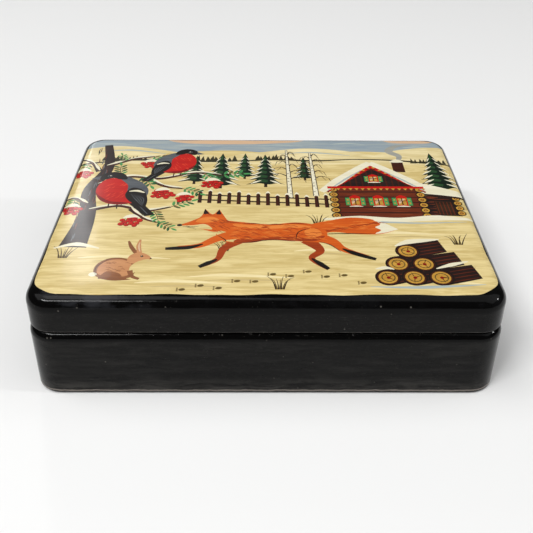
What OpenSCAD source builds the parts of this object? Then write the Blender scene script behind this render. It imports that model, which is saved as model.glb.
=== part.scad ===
// Lacquer box of papier-mache with a hinged lid. Base and lid are wound walls closed by a board. An inner sleeve
// stands above the rim of the base, and the lid sits down over it. A brass hinge is let into the back, and a painted
// panel is let into the lid. Millimetres, +Z up, +Y towards the hinge, origin at the middle of the underside.

/* [Box] */
// Width over the base, left to right
box_w = 150; // [120:1:220]
// Depth over the base, front to back
box_d = 110; // [80:1:180]
// Height with the lid shut
box_h = 38; // [30:1:80]
// Radius of the four upright corners of the base, seen from above
corner_r = 8.5; // [7:0.5:16]

/* [Base] */
// Thickness of the wound wall of the base
wall_t = 5; // [4.1:0.1:6]
// Thickness of the board that closes the base
bottom_t = 3; // [2:0.5:5]
// Width of the rebate that holds the bottom board
rebate_w = 2; // [1:0.1:2.4]
// Radius round the top edge of the base
base_edge_r = 3; // [0.5:0.1:4]
// Radius round the bottom edge of the base
foot_edge_r = 1.2; // [0.3:0.1:2]

/* [Inner sleeve] */
// Thickness of the sleeve
sleeve_t = 1.5; // [1:0.1:2]
// Height of the lip that stands above the rim of the base
lip_h = 3.5; // [2:0.5:6]
// Radius round the outer edge of the lip
lip_edge_r = 0.6; // [0.3:0.1:0.9]

/* [Lid] */
// Height of the lid from the seam to its top
lid_h = 13; // [10.8:0.1:20]
// How far the lid is set in from the base on each side
lid_inset = 0.4; // [0:0.1:1]
// Thickness of the board that closes the lid
board_t = 4.6; // [3:0.1:5]
// Radius round the top edge of the lid
lid_edge_r = 4.3; // [1:0.1:6]
// Radius round the lower edge of the lid
lid_foot_r = 0.8; // [0.2:0.1:1.2]

/* [Painted panel] */
// Thickness of the painted layer with its varnish
film_t = 0.25; // [0.1:0.05:0.5]
// Flat border left between the panel and the rounded edge of the lid
panel_border = 0.1; // [0:0.1:6]
// Radius of the corners of the panel
panel_r = 8; // [3:0.5:15]

/* [Hinge] */
// Length of one of the seven knuckles with its end gap
knuckle_l = 12; // [8:0.5:14]
// Outside diameter of the knuckles
barrel_d = 3.2; // [2.4:0.1:4]
// Diameter of the hinge pin
pin_d = 1.4; // [1:0.1:1.6]
// Width of the tang that holds each knuckle in the wall
tang_w = 9; // [5:0.5:9.5]
// Thickness of the tang
tang_t = 0.8; // [0.5:0.1:1.1]
// Length of the tang from the hinge axis
tang_l = 6; // [4:0.5:6.5]
// Angle at which the lid stops
open_angle = 100; // [90:1:110]

/* [Clearances] */
// Gap between the rim of the base and the shut lid
seam_gap = 0.2; // [0.1:0.05:0.4]
// Gap between the lip and the lid on each side
lid_fit = 0.3; // [0.2:0.05:0.5]
// Glue line between parts that are let into each other
glue_gap = 0.05; // [0.02:0.01:0.1]
// Gap round the pin in each knuckle, measured on the radius
pin_gap = 0.05; // [0.03:0.01:0.1]
// Gap round the knuckles in the walls, and at the ends of the hinge
channel_gap = 0.15; // [0.1:0.05:0.3]
// Gap between two knuckles
knuckle_gap = 0.2; // [0.1:0.05:0.4]
// How far the knuckles stay inside the back of the base
barrel_inset = 0.2; // [0.1:0.1:0.5]

/* [Hidden] */
$fn = 96;

// Longer than any part, for cuts that run right through
past = 2 * (box_w + box_d);
// Overlap of a cut past the face it opens
over = 1;

// Heights of the seam, of the lid's lower edge, of the lid board's underside and of the lip
seam_z = box_h - lid_h;
lid_z = seam_z + seam_gap;
board_z = box_h - board_t;
lip_z = seam_z + lip_h;

// The hollow of the base wall, and the bottom board in its rebate
hollow_w = box_w - 2 * wall_t;
hollow_d = box_d - 2 * wall_t;
hollow_r = corner_r - wall_t;
rebate_out = 2 * rebate_w;

// The sleeve in the hollow, and the cavity inside it
sleeve_w = hollow_w - 2 * glue_gap;
sleeve_d = hollow_d - 2 * glue_gap;
sleeve_r = hollow_r - glue_gap;
cavity_w = sleeve_w - 2 * sleeve_t;
cavity_d = sleeve_d - 2 * sleeve_t;
cavity_r = max(sleeve_r - sleeve_t, 0.5);

// The lid over the sleeve
lid_w = box_w - 2 * lid_inset;
lid_d = box_d - 2 * lid_inset;
lid_r = corner_r - lid_inset;
lid_hollow_w = sleeve_w + 2 * lid_fit;
lid_hollow_d = sleeve_d + 2 * lid_fit;
lid_hollow_r = sleeve_r + lid_fit;

// The rounding of the lid is limited by its board, and the panel lies on what is left flat
lid_round = min(lid_edge_r, board_t - 0.1);
panel_w = lid_w - 2 * (lid_round + panel_border);
panel_d = lid_d - 2 * (lid_round + panel_border);

// The hinge
knuckle_count = 7;
hinge_l = knuckle_count * knuckle_l;
barrel_r = barrel_d / 2;
bore_r = pin_d / 2 + pin_gap;
axis_y = box_d / 2 - barrel_inset - barrel_r;
axis_z = seam_z + seam_gap / 2;
// Base and lid are cut back behind the hinge by half the opening angle each, and by a little more
stop_margin = 1;
bevel = (open_angle + stop_margin) / 2;

black_lacquer = [0.07, 0.065, 0.06];
red_lacquer = [0.62, 0.07, 0.04];
cream_paint = [0.93, 0.86, 0.67];
brass = [0.75, 0.58, 0.28];
steel = [0.62, 0.62, 0.6];

// A rectangle with round corners
module plan(w, d, r) {
    square([w - 2 * r, d], center = true);
    square([w, d - 2 * r], center = true);
    for (x = [-1, 1], y = [-1, 1])
        translate([x * (w / 2 - r), y * (d / 2 - r)]) circle(r);
}

// A prism of that plan that cuts through from z0 to z1
module well(w, d, r, z0, z1) {
    translate([0, 0, z0]) linear_extrude(z1 - z0) plan(w, d, r);
}

// Half the section of a block, from its middle out to reach, with its outer edges rounded
module section(reach, h, top, bottom) {
    difference() {
        square([reach, h]);
        if (top > 0) translate([reach - top, h - top]) round_off(top);
        if (bottom > 0) translate([reach - bottom, bottom]) mirror([0, 1]) round_off(bottom);
    }
}

// What a rounding of radius r takes off a square corner
module round_off(r) {
    difference() {
        square(r + over);
        circle(r);
    }
}

// A block with round corners in plan and rounded edges at its top and bottom
module block(w, d, h, r, top, bottom) {
    rotate([90, 0, 90]) linear_extrude(w - 2 * r, center = true)
        for (side = [0, 1]) mirror([side, 0]) section(d / 2, h, top, bottom);
    for (side = [0, 180])
        rotate([0, 0, side]) translate([w / 2 - r, 0]) rotate([90, 0, 0])
            linear_extrude(d - 2 * r, center = true) section(r, h, top, bottom);
    for (x = [0, 1], y = [0, 1])
        mirror([x, 0]) mirror([0, y]) translate([w / 2 - r, d / 2 - r])
            rotate_extrude(angle = 90) section(r, h, top, bottom);
}

// Puts a part drawn on the X axis at the hinge
module at_hinge() {
    translate([0, axis_y, axis_z]) children();
}

// The cut behind the hinge that lets the lid swing back, below it with up = -1 or above it with up = 1
module back_bevel(up) {
    run = box_d / 4;
    at_hinge() rotate([90, 0, 90]) linear_extrude(past, center = true)
        polygon([[0, 0], [run, 0], [run, up * run * tan(bevel)]]);
}

// The round channel that the knuckles lie in
module hinge_channel() {
    at_hinge() rotate([0, 90, 0])
        cylinder(h = hinge_l + 2 * channel_gap, r = barrel_r + channel_gap, center = true);
}

// Middle of a knuckle along the hinge, counted from 0 at the left
function knuckle_x(place) = (place - (knuckle_count - 1) / 2) * knuckle_l;

// The flat tang of a knuckle, from the axis down with up = -1 or up with up = 1, grown by gap for its slot
module tang(place, up, gap) {
    reach = tang_l + gap;
    at_hinge() translate([knuckle_x(place), -tang_t / 2, up * reach / 2])
        cube([tang_w + 2 * gap, tang_t + 2 * gap, reach], center = true);
}

module base_wall() {
    color(black_lacquer) difference() {
        block(box_w, box_d, seam_z, corner_r, base_edge_r, foot_edge_r);
        well(hollow_w, hollow_d, hollow_r, -over, seam_z + over);
        well(hollow_w + rebate_out, hollow_d + rebate_out, hollow_r + rebate_w, -over, bottom_t);
        back_bevel(-1);
        hinge_channel();
        for (place = [0:2:6]) tang(place, -1, glue_gap);
    }
}

module base_bottom() {
    edge = rebate_out - 2 * glue_gap;
    color(black_lacquer)
        well(hollow_w + edge, hollow_d + edge, hollow_r + edge / 2, 0, bottom_t);
}

module inner_sleeve() {
    color(red_lacquer) difference() {
        translate([0, 0, bottom_t])
            block(sleeve_w, sleeve_d, lip_z - bottom_t, sleeve_r, lip_edge_r, 0);
        well(cavity_w, cavity_d, cavity_r, bottom_t - over, lip_z + over);
    }
}

module lid_wall() {
    color(black_lacquer) difference() {
        translate([0, 0, lid_z]) block(lid_w, lid_d, board_z - lid_z, lid_r, 0, lid_foot_r);
        well(lid_hollow_w, lid_hollow_d, lid_hollow_r, lid_z - over, board_z + over);
        back_bevel(1);
        hinge_channel();
        for (place = [1:2:5]) tang(place, 1, glue_gap);
    }
}

module lid_board() {
    recess = 2 * glue_gap;
    color(black_lacquer) difference() {
        translate([0, 0, board_z]) block(lid_w, lid_d, board_t, lid_r, lid_round, 0);
        well(panel_w + recess, panel_d + recess, panel_r + glue_gap, box_h - film_t, box_h + over);
    }
}

module picture_ground() {
    color(cream_paint) well(panel_w, panel_d, panel_r, box_h - film_t, box_h);
}

module hinge_pin() {
    color(steel) at_hinge() rotate([0, 90, 0])
        cylinder(h = hinge_l - knuckle_gap, d = pin_d, center = true);
}

// One knuckle and its tang, which points down into the base with up = -1 or up into the lid with up = 1
module knuckle(place, up) {
    color(brass) difference() {
        union() {
            at_hinge() translate([knuckle_x(place), 0, 0]) rotate([0, 90, 0])
                cylinder(h = knuckle_l - knuckle_gap, r = barrel_r, center = true);
            tang(place, up, 0);
        }
        at_hinge() rotate([0, 90, 0]) cylinder(h = past, r = bore_r, center = true);
    }
}

module base_knuckle(number) {
    knuckle(2 * number - 2, -1);
}

module lid_knuckle(number) {
    knuckle(2 * number - 1, 1);
}

base_wall();
base_bottom();
inner_sleeve();
base_knuckle(1);  // base_knuckle_1
base_knuckle(2);  // base_knuckle_2
base_knuckle(3);  // base_knuckle_3
base_knuckle(4);  // base_knuckle_4
hinge_pin();
lid_wall();
lid_board();
picture_ground();
lid_knuckle(1);  // lid_knuckle_1
lid_knuckle(2);  // lid_knuckle_2
lid_knuckle(3);  // lid_knuckle_3
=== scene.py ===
"""Looks of the lacquer box: lacquers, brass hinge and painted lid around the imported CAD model.

The script adds a camera at the photograph's angle, a pale floor and soft light. Lengths in the looks and
in the drawing of the lid are millimetres. Places and sizes of the floor and the lights are metres.
"""

import math
import random

import bpy
from mathutils import Matrix, Vector
from mathutils.geometry import delaunay_2d_cdt


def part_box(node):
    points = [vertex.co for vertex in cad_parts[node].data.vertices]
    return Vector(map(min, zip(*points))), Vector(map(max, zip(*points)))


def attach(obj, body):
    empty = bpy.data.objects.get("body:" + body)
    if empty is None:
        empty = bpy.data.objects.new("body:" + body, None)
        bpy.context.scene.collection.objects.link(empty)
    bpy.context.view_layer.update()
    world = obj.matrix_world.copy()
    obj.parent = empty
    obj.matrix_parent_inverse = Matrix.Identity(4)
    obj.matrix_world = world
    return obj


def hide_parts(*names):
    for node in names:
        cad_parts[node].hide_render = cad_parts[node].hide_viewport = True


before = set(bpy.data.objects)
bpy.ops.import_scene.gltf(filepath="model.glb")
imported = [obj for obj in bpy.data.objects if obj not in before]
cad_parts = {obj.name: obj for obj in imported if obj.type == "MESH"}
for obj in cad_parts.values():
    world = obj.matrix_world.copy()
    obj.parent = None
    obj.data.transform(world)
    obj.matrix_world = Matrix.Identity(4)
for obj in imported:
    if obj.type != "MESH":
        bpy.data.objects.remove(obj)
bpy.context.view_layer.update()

MM = 0.001
TURN = 2 * math.pi


def add_object(name, data):
    thing = bpy.data.objects.new(name, data)
    bpy.context.scene.collection.objects.link(thing)
    return thing


# Camera, at the photograph's viewing angle, from a fit to the outline of the box
PHOTO_SIDE = 533.0
FOCAL_PX = 767.1
OPTICAL_AXIS_PX = (266.5, 206.5)
PITCH, YAW, ROLL = (math.radians(a) for a in (31.94, 0.63, 0.50))
CAMERA_FROM_LID = Vector((-2.37, -234.66, 145.75)) * MM
SENSOR = 36.0
NEAR_CLIP, FAR_CLIP = 0.01, 20


def make_camera():
    lid_top = Vector((0, 0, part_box("lid_board")[1].z))
    ahead = math.cos(PITCH)
    forward = Vector((math.sin(YAW) * ahead, math.cos(YAW) * ahead, -math.sin(PITCH)))
    level = Vector((math.cos(YAW), -math.sin(YAW), 0))
    up = level.cross(forward)
    right = level * math.cos(ROLL) + up * math.sin(ROLL)
    above = up * math.cos(ROLL) - level * math.sin(ROLL)
    data = bpy.data.cameras.new("camera")
    data.sensor_width = SENSOR
    data.lens = SENSOR * FOCAL_PX / PHOTO_SIDE
    data.shift_x = (PHOTO_SIDE / 2 - OPTICAL_AXIS_PX[0]) / PHOTO_SIDE
    data.shift_y = (OPTICAL_AXIS_PX[1] - PHOTO_SIDE / 2) / PHOTO_SIDE
    data.clip_start = NEAR_CLIP
    data.clip_end = FAR_CLIP
    camera = add_object("camera", data)
    turn = Matrix((right, above, -forward)).transposed()
    camera.matrix_world = Matrix.Translation(lid_top + CAMERA_FROM_LID) @ turn.to_4x4()
    bpy.context.scene.camera = camera


# Floor and light. Each light stands at its place and faces the box.
FLOOR_HALF = 0.95
FLOOR_COLOUR = (0.77, 0.77, 0.765)
FLOOR_ROUGHNESS = 0.9
FLOOR_SPECULAR = 0.1
WORLD_STRENGTH = 0.08
BACKDROP_STRENGTH = 0.78
LIGHTS = {  # place, size and watts
    "key": ((-0.95, -0.05, 1.6), (1.3, 1.3), 10.5),
    "glare": ((-0.47, 1.34, 0.80), (0.08, 0.62), 2.2),
    "corner": ((-0.60, -0.66, 1.10), (0.46, 0.10), 8.4),
    "streak": ((-0.38, -0.75, 1.10), (0.30, 0.12), 2.0),
    "spark": ((1.15, -0.15, 0.66), (0.09, 0.09), 3.2),
    "fill": ((0.95, -0.25, 1.6), (2.0, 2.0), 12.2),
    "top": ((-0.38, -0.2, 1.6), (0.9, 0.6), 5.0),
}


def area_light(name, place, size, watts):
    data = bpy.data.lights.new(name, "AREA")
    data.shape = "RECTANGLE"
    data.size, data.size_y = size
    data.energy = watts
    lamp = add_object(name, data)
    lamp.location = place
    lamp.rotation_euler = (-Vector(place)).to_track_quat("-Z", "Y").to_euler()


def make_world():
    """A dim white room that the camera sees as a pale backdrop."""
    world = bpy.data.worlds.new("studio")
    world.use_nodes = True
    tree = world.node_tree
    room = tree.nodes["Background"]
    backdrop = tree.nodes.new("ShaderNodeBackground")
    for background, strength in ((room, WORLD_STRENGTH), (backdrop, BACKDROP_STRENGTH)):
        background.inputs["Color"].default_value = (1, 1, 1, 1)
        background.inputs["Strength"].default_value = strength
    path = tree.nodes.new("ShaderNodeLightPath")
    choice = tree.nodes.new("ShaderNodeMixShader")
    tree.links.new(path.outputs["Is Camera Ray"], choice.inputs[0])
    tree.links.new(room.outputs[0], choice.inputs[1])
    tree.links.new(backdrop.outputs[0], choice.inputs[2])
    tree.links.new(choice.outputs[0], tree.nodes["World Output"].inputs["Surface"])
    return world


def floor_material():
    material = bpy.data.materials.new("floor")
    material.use_nodes = True
    shader = material.node_tree.nodes["Principled BSDF"]
    shader.inputs["Base Color"].default_value = (*FLOOR_COLOUR, 1)
    shader.inputs["Roughness"].default_value = FLOOR_ROUGHNESS
    shader.inputs["Specular IOR Level"].default_value = FLOOR_SPECULAR
    return material


def make_stage():
    scene = bpy.context.scene
    scene.view_settings.view_transform = "Standard"
    scene.world = make_world()
    mesh = bpy.data.meshes.new("floor")
    r = FLOOR_HALF
    mesh.from_pydata([(-r, -r, 0), (r, -r, 0), (r, r, 0), (-r, r, 0)], [], [(0, 1, 2, 3)])
    floor = add_object("floor", mesh)
    mesh.materials.append(floor_material())
    for name, light in LIGHTS.items():
        area_light(name, *light)


def linear(*steps):
    """A colour given as 0 to 255 steps of an sRGB screen, in the light values that shaders use."""
    shares = [step / 255 for step in steps]
    return tuple(c / 12.92 if c < 0.0404 else ((c + 0.055) / 1.055) ** 2.4 for c in shares)


class Look:
    """A material whose node tree is built by short calls, in millimetres of the object's own frame."""

    def __init__(self, name):
        self.material = bpy.data.materials.new(name)
        self.material.use_nodes = True
        self.tree = self.material.node_tree
        self.shader = self.tree.nodes["Principled BSDF"]
        self.mm = self.scaled(self.node("TexCoord", {})["Object"], 1 / MM)

    def put(self, node, socket, value):
        if isinstance(value, bpy.types.NodeSocket):
            self.tree.links.new(value, node.inputs[socket])
        else:
            node.inputs[socket].default_value = value

    def node(self, kind, inputs, **settings):
        """The outputs of a new node, whose inputs take values or sockets."""
        node = self.tree.nodes.new("ShaderNode" + kind)
        for name, value in settings.items():
            setattr(node, name, value)
        for socket, value in inputs.items():
            self.put(node, socket, value)
        return node.outputs

    def set(self, **values):
        """Puts values or sockets on the shader; an underscore in a name stands for a space."""
        for name, value in values.items():
            self.put(self.shader, name.replace("_", " "), value)

    def scaled(self, place, factors):
        """The place times three factors, or times one number."""
        along = factors if isinstance(factors, tuple) else (factors, factors, factors)
        return self.node("VectorMath", {0: place, 1: along}, operation="MULTIPLY")[0]

    def math(self, operation, a, b=0.0):
        return self.node("Math", {0: a, 1: b}, operation=operation)[0]

    def times(self, first, *others):
        for other in others:
            first = self.math("MULTIPLY", first, other)
        return first

    def plus(self, first, *others):
        for other in others:
            first = self.math("ADD", first, other)
        return first

    def larger(self, a, b):
        return self.math("MAXIMUM", a, b)

    def rest(self, share):
        return self.math("SUBTRACT", 1.0, share)

    def noise(self, factors, detail=3.0, roughness=0.5, warp=0.0):
        """Noise with this many features a millimetre, along X, Y and Z or everywhere."""
        inputs = {"Vector": self.scaled(self.mm, factors), "Scale": 1.0, "Detail": detail,
                  "Roughness": roughness, "Distortion": warp}
        return self.node("TexNoise", inputs)["Fac"]

    def cells(self, per_mm):
        """Distance to the nearest of scattered points, about this many to the millimetre."""
        return self.node("TexVoronoi", {"Vector": self.scaled(self.mm, per_mm), "Scale": 1.0})["Distance"]

    def steps(self, value, low, high):
        """0 below low, 1 above high, with a smooth rise between; turned round if low is above high."""
        inputs = {"Value": value, "From Min": low, "From Max": high}
        return self.node("MapRange", inputs, interpolation_type="SMOOTHSTEP")["Result"]

    def band(self, value, start, full, last, end):
        """0 up to start, 1 from full to last, and 0 again from end on."""
        return self.times(self.steps(value, start, full), self.steps(value, end, last))

    def mix(self, share, a, b):
        """The colour a where the share is 0, and b where it is 1."""
        a, b = (c if isinstance(c, bpy.types.NodeSocket) else (*c, 1) for c in (a, b))
        return self.node("Mix", {0: share, 6: a, 7: b}, data_type="RGBA")[2]

    def axis(self, index):
        return self.node("SeparateXYZ", {0: self.mm})[index]

    def inside(self, half_x, half_y):
        """1 in the upright box of these half sizes round the Z axis, 0 outside it."""
        in_x = self.math("LESS_THAN", self.math("ABSOLUTE", self.axis(0)), half_x)
        in_y = self.math("LESS_THAN", self.math("ABSOLUTE", self.axis(1)), half_y)
        return self.times(in_x, in_y)

    def bump(self, height, depth, under=None):
        """A normal from a height of 0 to 1 that stands for depth millimetres, on top of another normal."""
        inputs = {"Height": height, "Distance": depth * MM}
        if under is not None:
            inputs["Normal"] = under
        return self.node("Bump", inputs)["Normal"]


# Lacquers: their colours
# The darker black of the roundings, top and bottom: painted shade, set against the lighter sides
BLACK = (0.0018, 0.0017, 0.0017)
# The lighter black of the flat sides: a painted reflection of the pale floor in them
SIDE_BLACK_WITH_SHEEN = (0.0044, 0.0042, 0.0040)
# Rubbed haze on the sides, laid more thickly on the left end as painted light from the left
BLACK_WORN_AND_SHEEN = (0.0175, 0.0166, 0.0155)
BLACK_RUBBED = (0.026, 0.025, 0.023)
# The lighter black low on the sides: a painted reflection of the bright floor close in front
BLACK_NEAR_FOOT = (0.038, 0.036, 0.033)
# Pale bluish haze on the lid's rounding: a painted highlight over the scuffed patches
SCUFF_SHEEN = (0.034, 0.035, 0.040)
DUST = (0.16, 0.15, 0.13)
FOOT_BARE = (0.24, 0.21, 0.185)
# The faint pale line on the lid's lower edge: a painted reflection of the floor
LIP_SHEEN = (0.045, 0.042, 0.038)
# Pale specks on the base's top edge under the seam: painted glints, set as small chips
RIM_CHIP_GLINT = (0.06, 0.057, 0.054)
RED = linear(152, 24, 15)
RED_DEEP = linear(138, 19, 12)

# Lacquers: heights above the floor of the worn bands and of the painted light. A band starts, is full, begins
# to fade and ends.
BASE_SIDE_FULL, BASE_SIDE_END = 21.6, 22.8
LID_SIDE_BAND = (25.6, 26.2, 32.6, 33.5)
FOOT_BAND = (1.55, 1.85, 1.90, 2.40)
LIP_SHEEN_BAND = (25.45, 25.65, 26.1, 26.5)
CHIP_GLINT_BAND = (23.9, 24.15, 24.5, 24.75)
SCUFF_SHEEN_START, SCUFF_SHEEN_FULL = 34.0, 36.0
NEAR_FOOT_END, NEAR_FOOT_FULL = 8.0, 2.5
INTERIOR_HALF = (70.32, 50.32)
INTERIOR_LOW, INTERIOR_TOP = 1.5, 33.45

# Lacquers, along X: where the left end is lighter, painted light from the left laid on the rubbed and scuffed
# patches, and the corner that stays smooth
LEFT_LIGHT_START, LEFT_LIGHT_FULL = -15.0, -78.0
CORNER_SMOOTH, CORNER_SCUFF_SHEEN = -70.0, -65.0

# Lacquers: noises, as features a millimetre along X, Y and Z, detail, roughness and warp
CLOUDS = (0.03, 0.03, 0.08), 4
RUBBING = (0.07, 0.42, 0.42), 7, 0.7, 0.4
HAIRLINES = (0.7, 1.9, 1.9), 4, 0.72
SCUFF_SHEEN_NOISE = (0.10, 0.16, 0.16), 5, 0.62
CHIP_GLINT_NOISE = (0.5, 0.5, 0.3), 5, 0.75
BRUSHING = (0.04, 0.35, 0.35), 6, 0.55
RAGGEDNESS = 0.35, 4
RAGGED_BY = 0.9
GRAIN_CORE = 0.05

# Lacquers: shares of the worn look and of the painted highlight, and roughness
LID_SPARED = 0.6
HAIRLINE_SHARE = 0.4
SCUFF_SHEEN_SHARE = 0.8
SCUFF_SHEEN_AT_LEFT, SCUFF_SHEEN_ELSEWHERE = 0.95, 0.08
POLISHED = 0.10
ROUGH_RUBBED = 0.14
ROUGH_SCUFFED = 0.14
ROUGH_DUST = 0.3
LACQUER_SPECULAR = 0.11


def black_with_wear_and_painted_light(look, height, rubbed, hairlines, left):
    """The black of the box, rubbed and hazy on its flat sides, and the share that tells where those are. The
    sides are a lighter black than the roundings: painted reflection of the pale floor on the sides, painted
    shade on the roundings.
    """
    lid_side = look.band(height, *LID_SIDE_BAND)
    sides = look.larger(look.steps(height, BASE_SIDE_END, BASE_SIDE_FULL), lid_side)
    wear_and_left_light = look.times(look.steps(rubbed, 0.4, 0.72), look.steps(look.noise(*CLOUDS), 0.30, 0.66))
    # More rubbing shows on the left end: painted light from the left, over real rubbing
    wear_and_left_light = look.larger(wear_and_left_light, look.times(left, look.steps(rubbed, 0.34, 0.7)))
    wear_and_left_light = look.times(wear_and_left_light, look.rest(look.times(lid_side, LID_SPARED)))
    hazy = look.mix(wear_and_left_light, SIDE_BLACK_WITH_SHEEN, BLACK_WORN_AND_SHEEN)
    hazy = look.mix(look.times(look.steps(hairlines, 0.5, 0.74), HAIRLINE_SHARE), hazy, BLACK_RUBBED)
    # Lighter low on the sides, in the rubbed patches: painted reflection of the floor close by
    near_foot = look.times(look.steps(height, NEAR_FOOT_END, NEAR_FOOT_FULL), look.steps(rubbed, 0.34, 0.64))
    # The sides take the lighter black and the roundings the darker one: painted reflection and painted shade
    return look.mix(sides, BLACK, look.mix(near_foot, hazy, BLACK_NEAR_FOOT)), sides


def grains(look, per_mm, reach, patches, bare, full):
    """Small round grains of dust, in the patches where a noise runs from bare to full."""
    return look.times(look.steps(look.cells(per_mm), reach, GRAIN_CORE), look.steps(patches, bare, full))


def dust_share(look):
    specks = grains(look, 0.3, 0.11, look.noise(0.07, detail=2), 0.5, 0.6)
    motes = grains(look, 0.9, 0.12, look.noise(0.12, detail=3), 0.48, 0.62)
    return look.larger(look.times(specks, 0.5), look.times(motes, 0.3))


def scuff_and_sheen_share(look, height, left):
    """Scuffs on the lid's rounding, most towards the left but not on the corner. They roughen the lacquer,
    and their pale bluish colour is a painted highlight along that rounding.
    """
    amount = look.plus(look.times(left, SCUFF_SHEEN_AT_LEFT), SCUFF_SHEEN_ELSEWHERE)
    off_corner = look.steps(look.axis(0), CORNER_SMOOTH, CORNER_SCUFF_SHEEN)
    on_top = look.steps(height, SCUFF_SHEEN_START, SCUFF_SHEEN_FULL)
    return look.times(look.steps(look.noise(*SCUFF_SHEEN_NOISE), 0.46, 0.66), on_top, amount, off_corner)


def worn_foot_and_lip_sheen(look, height, colour):
    """The colour with a ragged bare line along the foot, which is wear, and a faint pale line along the lid's
    lower edge, which is a painted reflection of the floor in that rounding.
    """
    ragged = look.plus(height, look.times(look.noise(*RAGGEDNESS), RAGGED_BY))
    colour = look.mix(look.band(ragged, *FOOT_BAND), colour, FOOT_BARE)
    # Pale line on the lid's lower edge: painted reflection
    return look.mix(look.band(ragged, *LIP_SHEEN_BAND), colour, LIP_SHEEN)


def red_inside(look, height, inside_half, colour):
    """The colour, but brushed red lacquer in the hollow of the box and the lid."""
    red = look.mix(look.steps(look.noise(*BRUSHING), 0.3, 0.75), RED, RED_DEEP)
    between = look.times(look.math("GREATER_THAN", height, INTERIOR_LOW),
                         look.math("LESS_THAN", height, INTERIOR_TOP))
    return look.mix(look.times(look.inside(*inside_half), between), colour, red)


def lacquer(name, inside_half=None):
    """Black lacquer with dust, scuffed and chipped patches and worn edges, and red lacquer inside the given
    half sizes. Its flat sides, left end and lower edges carry painted reflection, and its scuffed and chipped
    patches a painted highlight.
    """
    look = Look(name)
    height = look.axis(2)
    rubbed = look.noise(*RUBBING)
    hairlines = look.noise(*HAIRLINES)
    # Rises towards the left end, where rubbed and scuffed patches grow lighter: painted light from the left
    left = look.steps(look.axis(0), LEFT_LIGHT_START, LEFT_LIGHT_FULL)
    black, sides = black_with_wear_and_painted_light(look, height, rubbed, hairlines, left)
    dust = dust_share(look)
    scuffs_and_sheen = scuff_and_sheen_share(look, height, left)
    # Pale specks along the base's top edge: painted glints, each with a small dent
    chips_and_glints = look.times(look.band(height, *CHIP_GLINT_BAND), look.steps(look.noise(*CHIP_GLINT_NOISE), 0.58, 0.7))
    colour = look.mix(dust, black, DUST)
    # Pale scuffed patches on the lid's rounding: painted highlight
    colour = look.mix(look.times(scuffs_and_sheen, SCUFF_SHEEN_SHARE), colour, SCUFF_SHEEN)
    colour = look.mix(chips_and_glints, worn_foot_and_lip_sheen(look, height, colour), RIM_CHIP_GLINT)
    if inside_half:
        colour = red_inside(look, height, inside_half, colour)
    gloss = look.plus(look.times(sides, look.steps(rubbed, 0.35, 0.8), ROUGH_RUBBED), POLISHED)
    gloss = look.plus(gloss, look.times(scuffs_and_sheen, ROUGH_SCUFFED), look.times(dust, ROUGH_DUST))
    relief = look.bump(look.noise(0.11, detail=2), 0.10)
    relief = look.bump(hairlines, 0.004, relief)
    relief = look.bump(look.noise(0.6, detail=3), 0.014, relief)
    relief = look.bump(look.rest(chips_and_glints), 0.02, relief)
    look.set(Base_Color=colour, Roughness=gloss, Specular_IOR_Level=LACQUER_SPECULAR, Normal=relief)
    return look.material


def brass():
    look = Look("brass")
    tarnish = look.noise(0.35, detail=5, roughness=0.6)
    colour = look.mix(look.steps(tarnish, 0.4, 0.68), linear(205, 160, 84), linear(122, 84, 40))
    look.set(Base_Color=colour, Metallic=1.0, Roughness=look.plus(look.times(tarnish, 0.22), 0.24),
             Normal=look.bump(look.noise((6.0, 0.5, 0.5), detail=2), 0.012))
    return look.material


def steel():
    look = Look("steel")
    tone = look.noise(0.5, detail=4)
    colour = look.mix(tone, (0.56, 0.55, 0.53), (0.38, 0.37, 0.35))
    look.set(Base_Color=colour, Metallic=1.0, Roughness=look.plus(look.times(tone, 0.15), 0.22),
             Normal=look.bump(look.noise((4.0, 0.6, 0.6)), 0.006))
    return look.material


def finish_cad_nodes():
    outside = lacquer("black_lacquer")
    lined = lacquer("black_lacquer_red_inside", INTERIOR_HALF)
    hinge, pin = brass(), steel()
    own = {"hinge_pin": pin, "picture_ground": outside}
    for name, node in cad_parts.items():
        node.data.materials.clear()
        node.data.materials.append(hinge if "knuckle" in name else own.get(name, lined))


# Lid surface, in millimetres: the same rounded rectangle and rounding as the CAD lid
LID_HALF_X, LID_HALF_Y, LID_TOP = (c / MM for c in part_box("lid_board")[1])
LID_CORNER_R = 8.1
LID_EDGE_R = 4.3
CROWN = 0.30
CROWN_HALF = (72.3, 51.2)
CROWN_REACH = 6.5
SKIN_ABOVE, SKIN_BELOW = 0.045, 0.008


def inset(x, y):
    """How far a point lies inside the lid's outline."""
    qx = abs(x) - (LID_HALF_X - LID_CORNER_R)
    qy = abs(y) - (LID_HALF_Y - LID_CORNER_R)
    return LID_CORNER_R - math.hypot(max(qx, 0), max(qy, 0)) - min(max(qx, qy), 0)


def rise(run):
    """From 0 at the picture's border towards 1 well inside it."""
    return 1 - math.exp(-max(run, 0) / CROWN_REACH)


def surface_z(x, y):
    """Height of the lid's top: flat with a rounding at its edge, under the crown that polishing leaves."""
    depth = min(inset(x, y), LID_EDGE_R)
    rounding = math.sqrt(max(LID_EDGE_R ** 2 - (LID_EDGE_R - depth) ** 2, 0)) - LID_EDGE_R
    return LID_TOP + rounding + CROWN * rise(CROWN_HALF[0] - abs(x)) * rise(CROWN_HALF[1] - abs(y))


def surface_normal(x, y, reach=0.05):
    slope_x = (surface_z(x + reach, y) - surface_z(x - reach, y)) / (2 * reach)
    slope_y = (surface_z(x, y + reach) - surface_z(x, y - reach)) / (2 * reach)
    return Vector((-slope_x, -slope_y, 1)).normalized()


# Drawing in the plane of the lid, in millimetres. K marks a point where an outline has a sharp corner.
K = True


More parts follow.
